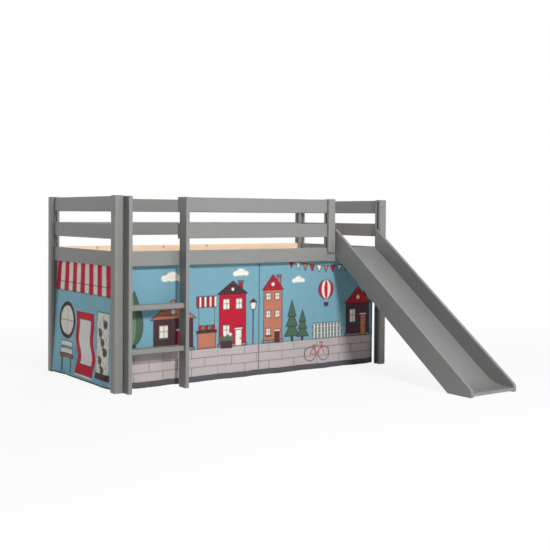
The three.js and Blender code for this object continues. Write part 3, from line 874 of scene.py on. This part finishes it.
def draw_awning(art, width):
    x, z = art.points[:, 0] - width / 2, art.points[:, 1]
    stripe = width / AWNING_STRIPES
    place = x / (1 - AWNING_FLARE * (z - AWNING_FOOT_SHARE)) / stripe + AWNING_STRIPES / 2
    number = np.floor(place)
    off_middle = np.abs(place - number - 0.5)
    edge = AWNING_FOOT_SHARE + SCALLOP_SHARE * (off_middle * 2) ** 2 - z
    to_side = (0.5 - off_middle) * stripe
    art.ink(edge, "end_cream_painted_light")
    art.ink(np.where(number % 2 == 1, np.maximum(edge, -to_side), FAR_OUTSIDE), "end_red_painted_light")
    art.ink(np.maximum(edge, to_side - art.line * STRIPE_LINE_SHARE), "line")
    art.outline(edge)
    art.ink(np.abs(z - VALANCE_SHARE) - art.line * VALANCE_LINE_SHARE, "line")


def draw_front(art, width, door_middle, door_half, sill):
    door_left, door_right = door_middle - door_half, door_middle + door_half
    art.box(door_left, sill - SILL_BAND_SHARE, door_right, sill, "end_cream_painted_light", False)
    for draw, (across, *rest) in ((draw_trellis, TRELLIS), (draw_porthole, PORTHOLE)):
        draw(art, door_middle + across, *rest)
    across, low = BENCH_PLACE
    art.boxes(door_middle + across, low, BENCH)
    draw_awning(art, width)
    art.ink(art.points[:, 1] - FOOT_BAND_SHARE, "line")


# %% [markdown]
# Woven cotton shows its threads only close up, but the eye still reads cloth from a matt surface
# with a soft sheen. The threads here are drawn coarser than real ones so that they show. The hem
# stitches are a dashed line. The reverse takes the same print, paler, as ink that soaked through.
# Loose fibres scatter what would be a mirror on a smooth surface, so the mirror is set weak.

# %% Cotton
THREAD = 2.4 * MM
SLUB = 9 * MM
SLUB_SPREAD = 0.12
UNPRINTED = "dcd9d2"
STITCH = 5 * MM
STITCH_WIDTH = 1.2 * MM
STITCH_SHARE = 0.65
STITCH_COLOUR = "6d6d71"
CLOTH_RELIEF = 0.3 * MM
COTTON_ROUGHNESS = 0.88


def weave_height(tree, parts, across):
    """Threads both ways, as the product of two sine waves."""
    turns = [calculate(tree, "MULTIPLY", parts.outputs[AXES[axis]], 2 * math.pi / THREAD)
             for axis in (across, "z")]
    return calculate(tree, "MULTIPLY", *[calculate(tree, "SINE", turn) for turn in turns])


def stitch_mask(tree, parts, across, stitch_z):
    """One on the dashes of a line at the height stitch_z, and nought elsewhere."""
    off_line = calculate(tree, "ABSOLUTE", calculate(tree, "SUBTRACT", parts.outputs[2], stitch_z))
    on_line = calculate(tree, "LESS_THAN", off_line, STITCH_WIDTH)
    dash = calculate(tree, "FRACT", calculate(tree, "DIVIDE", parts.outputs[AXES[across]], STITCH))
    drawn = calculate(tree, "LESS_THAN", dash, STITCH_SHARE)
    return calculate(tree, "MULTIPLY", on_line, drawn)


def cotton(name, across, fade, stitch_z):
    material, tree = new_material(name)
    ink = add(tree, "Attribute", {"attribute_name": "print"})
    place = add(tree, "TexCoord")
    parts = add(tree, "SeparateXYZ", (), {0: place.outputs["Object"]})
    slubs = add(tree, "TexNoise", (),
                {"Vector": place.outputs["Object"], "Scale": 1 / SLUB, "Detail": 3.0})
    faded = blend(tree, fade, ink.outputs["Color"], rgba(UNPRINTED))
    uneven = add(tree, "MapRange", (),
                 {"Value": slubs.outputs["Fac"], "To Min": 1 - SLUB_SPREAD, "To Max": 1 + SLUB_SPREAD})
    cloth = add(tree, "VectorMath", {"operation": "SCALE"}, {0: faded, "Scale": uneven.outputs[0]})
    stitch = stitch_mask(tree, parts, across, stitch_z)
    sewn = blend(tree, stitch, cloth.outputs[0], rgba(STITCH_COLOUR))
    relief = calculate(tree, "ADD", weave_height(tree, parts, across), slubs.outputs["Fac"])
    bumps = add(tree, "Bump", (), {"Height": relief, "Strength": 0.35, "Distance": CLOTH_RELIEF})
    set_surface(tree, {"Base Color": sewn, "Roughness": COTTON_ROUGHNESS, "Sheen Weight": 0.1,
                       "Specular IOR Level": 0.2, "Normal": bumps.outputs[0]})
    return material


# %% [markdown]
# A curtain is one grid of cloth, moved point by point into the folds that the solid has, with small
# creases on top, and then given its thickness. Hanging cloth has no folds where the tape holds it,
# and the most at its hem. The hem is folded over, so it is thicker.

# %% Folds
FOLD_WIDTH = 330 * MM
RIPPLE_WIDTH = 125.4 * MM
RIPPLE_SHARE = 0.4
RIPPLE_TURN = 1
FRONT_SWING = 9 * MM
END_SWING = 6 * MM
CREASE = 1.3 * MM
CREASE_AT_TAPE_SHARE = 0.25
# A row holds a crease's width in millimetres, how far it leans, and where its wave starts.
CREASE_WAVES = ((47, 0.35, 0.4), (61, -0.5, 2.1), (83, 0.9, 4.0), (29, 0.15, 5.2))
HELD_SHARE = 0.025

post_low, post_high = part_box("post_front_left")


def depth_below(tape_z, foot_z, z):
    """Nought at the tape and one at the foot."""
    return np.clip((tape_z - z) / (tape_z - foot_z), 0, 1)


def fold_out(along, depth, swing):
    """How far the cloth stands out, for a share of depth from the tape to the hem."""
    wave = np.sin(2 * np.pi * along / FOLD_WIDTH)
    ripple = RIPPLE_SHARE * np.sin(2 * np.pi * along / RIPPLE_WIDTH + RIPPLE_TURN)
    return swing * depth * (wave + ripple) / (1 + RIPPLE_SHARE)


def creases(along, z, depth):
    """Shallow creases of uneven length, from a few crossed waves."""
    total = np.zeros_like(along)
    for width, lean, turn in CREASE_WAVES:
        total += np.sin(2 * np.pi * (along + lean * z) / (width * MM) + turn)
    grown = CREASE_AT_TAPE_SHARE + (1 - CREASE_AT_TAPE_SHARE) * depth
    return CREASE * grown * total / len(CREASE_WAVES)


def relief_out(along, z, depth, start, swing):
    """Folds and creases together, pressed flat where the tape holds the cloth."""
    out = fold_out(along - start, depth, swing) + creases(along, z, depth)
    return out * np.minimum(1, depth / HELD_SHARE)


print("folds stand out by", FRONT_SWING / MM, "mm in front and", END_SWING / MM, "mm at the end")

# %% [markdown]
# Three helpers make every sheet. The first lays out the flat grid, cuts its doorway, if it has one,
# and moves each point to its place. The second turns the print to the outside. The third colours
# the points, gives the cloth its thickness, ties the sheet to its body, and hides the solid it stands
# for.

# %% Cloth pieces
CLOTH_THICK = 1.4 * MM
CLOTH_CELL = 4.2 * MM
SINGLE_LAYER_SHARE = 0.6
REVERSE_FADE = 0.55


def cloth_grid(name, columns, rows, place, opening=None):
    """A grid of cloth; columns and rows are the places of its lines across and down."""
    mesh = bmesh.new()
    bmesh.ops.create_grid(mesh, x_segments=len(columns) - 1, y_segments=len(rows) - 1, size=0.5)
    for vert in mesh.verts:
        across = np.interp(vert.co.x + 0.5, np.linspace(0, 1, len(columns)), columns)
        up = np.interp(vert.co.y + 0.5, np.linspace(0, 1, len(rows)), rows)
        vert.co = (across, up, 0)
    if opening:
        near, far, low, high = opening
        middles = [(face, face.calc_center_median()) for face in mesh.faces]
        cut = [face for face, middle in middles if near < middle.x < far and low < middle.y < high]
        bmesh.ops.delete(mesh, geom=cut, context="FACES")
    flat = np.array([vert.co[:2] for vert in mesh.verts])
    along, z = flat[:, 0], flat[:, 1]
    for vert, point in zip(mesh.verts, place(along, z)):
        vert.co = point
    mesh.normal_update()
    data = bpy.data.meshes.new(name)
    mesh.to_mesh(data)
    mesh.free()
    for polygon in data.polygons:
        polygon.use_smooth = True
    piece = bpy.data.objects.new(name, data)
    scene.collection.objects.link(piece)
    return piece, along, z


def face_towards(piece, direction):
    """Turns the cloth over if its printed side looks away from direction."""
    data = piece.data
    total = sum((polygon.normal * polygon.area for polygon in data.polygons), Vector())
    if total.dot(Vector(direction)) < 0:
        data.flip_normals()


def finish_cloth(piece, colours, z, hem_top, across, slot_node, body, stitch_z):
    data = piece.data
    layer = data.color_attributes.new("print", "FLOAT_COLOR", "POINT")
    layer.data.foreach_set("color", np.c_[colours, np.ones(len(colours))].astype(np.float32).ravel())
    group = piece.vertex_groups.new(name="hem")
    in_hem = z < hem_top
    group.add([int(i) for i in np.flatnonzero(in_hem)], 1.0, "REPLACE")
    group.add([int(i) for i in np.flatnonzero(~in_hem)], SINGLE_LAYER_SHARE, "REPLACE")
    wall = piece.modifiers.new("thickness", "SOLIDIFY")
    wall.thickness = CLOTH_THICK
    wall.offset = 0.0
    wall.vertex_group = "hem"
    wall.material_offset = 1
    data.materials.append(cotton(piece.name + "_printed_cotton", across, 0.0, stitch_z))
    data.materials.append(cotton(piece.name + "_reverse_cotton", across, REVERSE_FADE, stitch_z))
    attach(piece, body)
    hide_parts(slot_node)


def lines(start, end, cell=CLOTH_CELL):
    """Places of grid lines from start to end, about one cell apart."""
    return np.linspace(start, end, max(2, round((end - start) / cell) + 1))


# %% [markdown]
# Two curtains close the front, and they meet at a free seam. Each reaches a hair past its solid
# there, so that no slit of light shows. The right one flares a little at its outer foot.

# %% Front curtains
FRONT_TAPE = "curtain_tape_front"
CLOTH_GAP = 0.3 * MM
CAD_CLOTH_THICK = 2 * MM
SEAM_REACH = 1.6 * MM
SEAM_SHADE_SHARE = 0.6
FOOT_FLARE = 3 * MM
FLARE_POWER = 6
HEM_HEIGHT = 33 * MM
STITCH_DROP = 4 * MM
tape_low, tape_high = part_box(FRONT_TAPE)
front_plane = tape_high.y + CLOTH_GAP + CAD_CLOTH_THICK / 2
street_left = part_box("curtain_front_left")[0].x


def build_front_curtain(side):
    node = f"curtain_front_{side}"
    low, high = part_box(node)
    height = high.z - low.z
    is_left = side == "left"
    left_end = low.x if is_left else low.x - SEAM_REACH
    right_end = high.x + SEAM_REACH if is_left else high.x
    columns, rows = lines(left_end, right_end), lines(low.z, high.z)
    flare = 0.0 if is_left else FOOT_FLARE

    def place(x, z):
        depth = depth_below(tape_low.z, low.z, z)
        spread = flare * depth * ((x - left_end) / (right_end - left_end)) ** FLARE_POWER
        return np.c_[x + spread, front_plane + relief_out(x, z, depth, post_low.x, FRONT_SWING), z]

    piece, x, z = cloth_grid(f"printed_curtain_front_{side}", columns, rows, place)
    face_towards(piece, (0, -1, 0))
    art = Drawing(np.c_[x - street_left, z - low.z], height, "sky")
    draw_street(art)
    seam = right_end if is_left else left_end
    # A dark line along the seam is painted shade, for the shadow where the two curtains meet.
    art.ink(np.abs(x - seam) / height - art.line * SEAM_SHADE_SHARE, "joint")
    hem_top = low.z + HEM_HEIGHT
    finish_cloth(piece, art.colour, z, hem_top, "x", node, "bed", hem_top - STITCH_DROP)


for side in ("left", "right"):
    build_front_curtain(side)

# %% [markdown]
# The end curtain is held by its tape and is free below. In the photograph it leans out of the bed
# towards its foot, the most at the far corner. Near the doorway it follows the flap's curl, so the
# gap between the two stays a thin line.

# %% How the end curtain leans
END_TAPE = "curtain_tape_left"
FLAP_GAP = 1.0 * MM
FLAP_FOOT_GAP = 1.5 * MM
FLAP_CURL = 14 * MM
FLAP_WAVE_SHARE = 0.6
FOOT_LEAN = 20 * MM
CORNER_LEAN = 13 * MM
LEAN_BEND = 1.3
end_tape_low, end_tape_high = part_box(END_TAPE)
end_plane = end_tape_high.x + CLOTH_GAP + CAD_CLOTH_THICK / 2
end_low, end_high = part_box("curtain_left_end")
flap_low, flap_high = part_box("door_flap")
door_near = flap_low.y - FLAP_GAP
door_far = flap_high.y + FLAP_GAP
door_sill = flap_low.z - FLAP_FOOT_GAP
flap_seam = flap_high.z - CAD_CLOTH_THICK / 2
door_top = flap_seam + FLAP_GAP / 2


def lean_out(y, z):
    """How far the end curtain stands out of the bed, the most at its far foot."""
    depth = depth_below(end_tape_low.z, end_low.z, z)
    far = np.clip((y - door_far) / (end_high.y - door_far), 0, 1)
    return (FOOT_LEAN + CORNER_LEAN * far ** 2) * depth ** LEAN_BEND


def flap_curl(z):
    """The flap's waves grow towards its foot, which stands out."""
    share = depth_below(flap_seam, flap_low.z, z)
    return -FLAP_CURL * share * np.cos(2 * np.pi * (1 - share) / FLAP_WAVE_SHARE)


flap_plane = end_plane - lean_out((door_near + door_far) / 2, flap_seam)
print("doorway is", round(door_far - door_near, 3), "by", round(door_top - door_sill, 3), "m")

# %% [markdown]
# The grid's lines are laid out in three stretches each way, so that the doorway's edges fall on
# lines. The folds die away towards the doorway, and the flap's curve takes over.

# %% End curtain, open at its doorway
FOLLOW_WIDTH = 70 * MM
FOLLOW_SHARE = 0.97
END_HEM_HEIGHT = 9 * MM


def build_end_curtain():
    columns = np.r_[lines(end_low.y, door_near)[:-1], lines(door_near, door_far)[:-1],
                    lines(door_far, end_high.y)]
    rows = np.r_[lines(end_low.z, door_sill)[:-1], lines(door_sill, door_top)[:-1],
                 lines(door_top, end_high.z)]
    half_door = (door_far - door_near) / 2

    def place(y, z):
        beside = np.maximum(door_near - y, y - door_far)
        above = z - door_top
        calm = np.minimum(1, np.clip(beside / half_door, 0, 1) + np.clip(above / half_door, 0, 1))
        depth = depth_below(end_tape_low.z, end_low.z, z)
        own = end_plane + relief_out(y, z, depth, post_low.y, END_SWING) * calm - lean_out(y, z)
        away = np.maximum(beside, 0) + np.maximum(above, 0)
        pull = FOLLOW_SHARE * np.clip(1 - away / FOLLOW_WIDTH, 0, 1) ** 2
        return np.c_[own + pull * (flap_plane + flap_curl(z) - own), y, z]

    opening = (door_near, door_far, door_sill, door_top)
    piece, y, z = cloth_grid("printed_curtain_end", columns, rows, place, opening)
    face_towards(piece, (-1, 0, 0))
    width, height = end_high.y - end_low.y, end_high.z - end_low.z
    art = Drawing(np.c_[y - end_low.y, z - end_low.z], height, "end_sky_painted_light")
    door_middle = ((door_near + door_far) / 2 - end_low.y) / height
    draw_front(art, width / height, door_middle, half_door / height, (door_sill - end_low.z) / height)
    hem_top = end_low.z + END_HEM_HEIGHT
    finish_cloth(piece, art.colour, z, hem_top, "y", "curtain_left_end", "bed", hem_top)
    print(piece.name, "cut to", round(width, 3), "by", round(height, 3), "m, with a doorway")


build_end_curtain()

# %% [markdown]
# The flap is a loose piece of the same cloth with a red border. It is sewn only along its top, so
# it hangs in slow waves that grow towards its foot, and it swings on that seam. The curtain beside
# it and under it bends with it, as cloth does that was cut from one length.

# %% Door flap
FLAP_CELL = 4 * MM
FLAP_BORDER_SHARE = 0.115
FLAP_FOOT_SHARE = 0.16
FLAP_STITCH_RISE = 8 * MM


def build_flap():
    width, drop = flap_high.y - flap_low.y, flap_seam - flap_low.z
    columns = lines(flap_low.y, flap_high.y, FLAP_CELL)
    rows = lines(flap_low.z, flap_seam, FLAP_CELL)

    def place(y, z):
        return np.c_[flap_plane + flap_curl(z), y, z]

    piece, y, z = cloth_grid("printed_door_flap", columns, rows, place)
    face_towards(piece, (-1, 0, 0))
    art = Drawing(np.c_[y - flap_low.y, z - flap_low.z], drop, "end_red_painted_light")
    right = width / drop
    art.box(FLAP_BORDER_SHARE, FLAP_FOOT_SHARE, right - FLAP_BORDER_SHARE, 1 - FLAP_BORDER_SHARE, "grey")
    art.outline(art.distance_to([(0, 0), (right, 0), (right, 1), (0, 1)]))
    stitch_z = flap_low.z + FLAP_STITCH_RISE
    finish_cloth(piece, art.colour, z, flap_low.z, "y", "door_flap", "flap", stitch_z)


build_flap()
